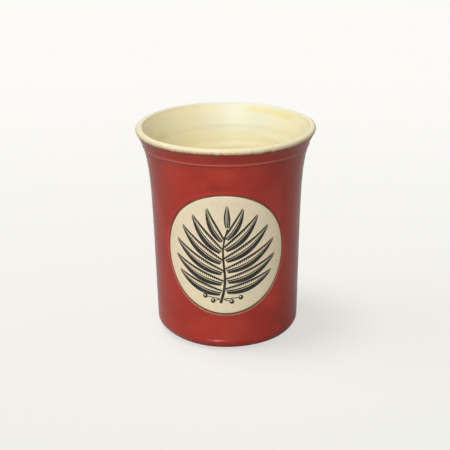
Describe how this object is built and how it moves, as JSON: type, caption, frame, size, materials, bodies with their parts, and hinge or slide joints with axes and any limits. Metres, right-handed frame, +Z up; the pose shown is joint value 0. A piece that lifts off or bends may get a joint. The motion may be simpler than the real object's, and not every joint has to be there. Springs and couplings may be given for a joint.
{
  "type": "handleless coffee mug",
  "caption": "Thrown stoneware mug with a flared lip, red outside, cream inside, and a round clay medallion set in the front of its wall.",
  "frame": {"origin": "centre of the foot, on the table", "axes": "+Z up along the axis of the pot, -Y towards the medallion, +X to the right of someone facing the medallion"},
  "size_m": [0.0904, 0.0904, 0.108],
  "materials": {
    "stoneware": "bare, fine grained, matt",
    "cream_glaze": "smooth, glossy",
    "red_glaze": "satin gloss, lightly mottled",
    "slip": "dried and fired slip, matt",
    "medallion_clay": "satin, thin clear glaze",
    "brown_stain": "stain under thin clear glaze"
  },
  "bodies": {
    "root": {"clay_body": "stoneware", "cream_liner": "cream_glaze", "red_coat": "red_glaze", "slip_bed": "slip", "medallion": "medallion_clay", "outline_stain": "brown_stain"}
  },
  "joints": []
}
